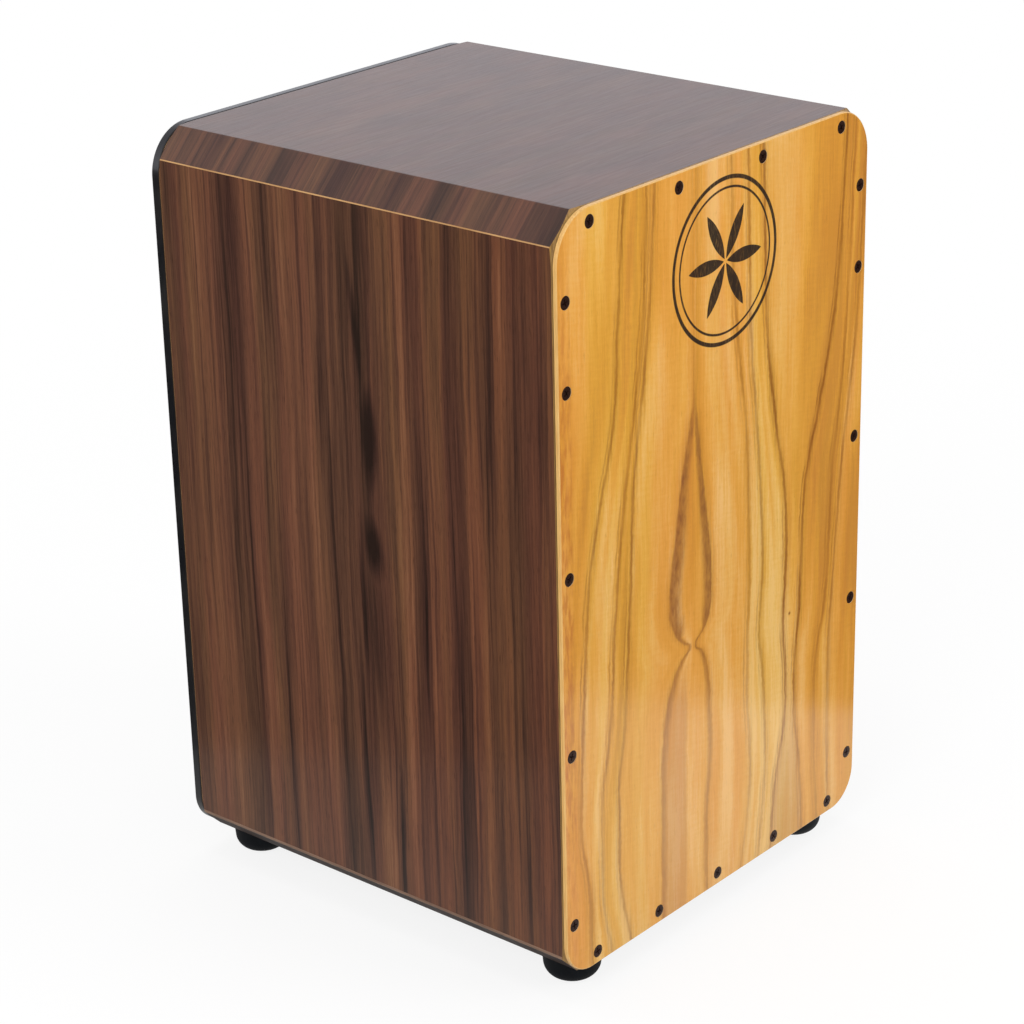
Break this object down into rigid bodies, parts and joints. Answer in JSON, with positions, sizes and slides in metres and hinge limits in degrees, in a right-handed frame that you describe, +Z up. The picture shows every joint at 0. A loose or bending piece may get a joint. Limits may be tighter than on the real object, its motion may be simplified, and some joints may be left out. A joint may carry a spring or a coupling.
{
  "type": "electro-acoustic cajon",
  "caption": "Wooden box drum with a thin screwed front plate, rear sound hole, rubber feet, lever-operated snare wires and a pickup preamp in the rear panel.",
  "frame": {"origin": "on the floor, under the middle of the object's bounding box, knobs included", "axes": "+Z up, -Y out of the struck front plate, +X to the right as seen from the front"},
  "size_m": [0.305, 0.3378, 0.498],
  "materials": {
    "honey_veneer": "satin lacquered honey veneer on thin ply",
    "walnut_veneer": "satin lacquered dark brown veneer, straight vertical grain",
    "seat_veneer": "glossier dark brown veneer, grain from side to side",
    "painted_board": "satin black paint on ply",
    "black_rubber": "moulded rubber",
    "black_screw": "black phosphated screw",
    "zinc_steel": "zinc plated",
    "beech": "bare sanded beech",
    "brass": "rolled sheet with a fired ceramic layer",
    "cable_jacket": "soft PVC jacket",
    "moulding": "fine spark-eroded texture",
    "knob_plastic": "moulded, slightly glossy",
    "nickel": "nickel plated",
    "circuit_board": "solder mask green",
    "battery_jacket": "printed steel jacket, left plain"
  },
  "bodies": {
    "box": {"base_panel": "walnut_veneer", "bass_pickup": "brass", "bass_pickup_lead": "cable_jacket", "battery": "battery_jacket", "control_plate": "moulding", "control_plate_screw_bottom_left": "black_screw", "control_plate_screw_bottom_right": "black_screw", "control_plate_screw_top_left": "black_screw", "control_plate_screw_top_right": "black_screw", "foot_front_left": "black_rubber", "foot_front_right": "black_rubber", "foot_rear_left": "black_rubber", "foot_rear_right": "black_rubber", "foot_screw_front_left": "zinc_steel", "foot_screw_front_right": "zinc_steel", "foot_screw_rear_left": "zinc_steel", "foot_screw_rear_right": "zinc_steel", "front_plate": "honey_veneer", "front_plate_screw_bottom_1": "black_screw", "front_plate_screw_bottom_2": "black_screw", "front_plate_screw_bottom_3": "black_screw", "front_plate_screw_bottom_4": "black_screw", "front_plate_screw_bottom_5": "black_screw", "front_plate_screw_left_1": "black_screw", "front_plate_screw_left_2": "black_screw", "front_plate_screw_left_3": "black_screw", "front_plate_screw_left_4": "black_screw", "front_plate_screw_left_5": "black_screw", "front_plate_screw_right_1": "black_screw", "front_plate_screw_right_2": "black_screw", "front_plate_screw_right_3": "black_screw", "front_plate_screw_right_4": "black_screw", "front_plate_screw_right_5": "black_screw", "front_plate_screw_top_1": "black_screw", "front_plate_screw_top_2": "black_screw", "front_plate_screw_top_3": "black_screw", "front_plate_screw_top_4": "black_screw", "lead_clip_front": "moulding", "lead_clip_rear": "moulding", "output_jack": "nickel", "output_jack_nut": "nickel", "preamp_board": "circuit_board", "preamp_housing": "moulding", "rear_panel": "painted_board", "seat_panel": "seat_veneer", "side_panel_left": "walnut_veneer", "side_panel_right": "walnut_veneer", "snare_bearing_left": "beech", "snare_bearing_right": "beech", "snare_pickup": "brass", "snare_pickup_lead": "cable_jacket", "tone_pot": "nickel", "volume_pot": "nickel"},
    "snare": {"snare_bar": "beech", "snare_wires_left": "nickel", "snare_wires_right": "nickel", "snare_lever": "beech"},
    "volume_knob": {"volume_knob": "knob_plastic"},
    "tone_knob": {"tone_knob": "knob_plastic"},
    "battery_door": {"battery_door": "moulding"}
  },
  "joints": [
    {"name": "snare_throw_off", "type": "hinge", "parent": "box", "child": "snare", "pos_m": [0, -0.15455, 0.434], "axis": [1, 0, 0], "range_deg": [0, 20]},
    {"name": "volume_turn", "type": "hinge", "parent": "box", "child": "volume_knob", "pos_m": [-0.008, 0.1556, 0.113], "axis": [0, 1, 0], "range_deg": [-150, 150]},
    {"name": "tone_turn", "type": "hinge", "parent": "box", "child": "tone_knob", "pos_m": [-0.033, 0.1556, 0.113], "axis": [0, 1, 0], "range_deg": [-150, 150]},
    {"name": "battery_door_turn", "type": "hinge", "parent": "box", "child": "battery_door", "pos_m": [0.035, 0.1534, 0.09955], "axis": [-1, 0, 0], "range_deg": [0, 90]}
  ]
}
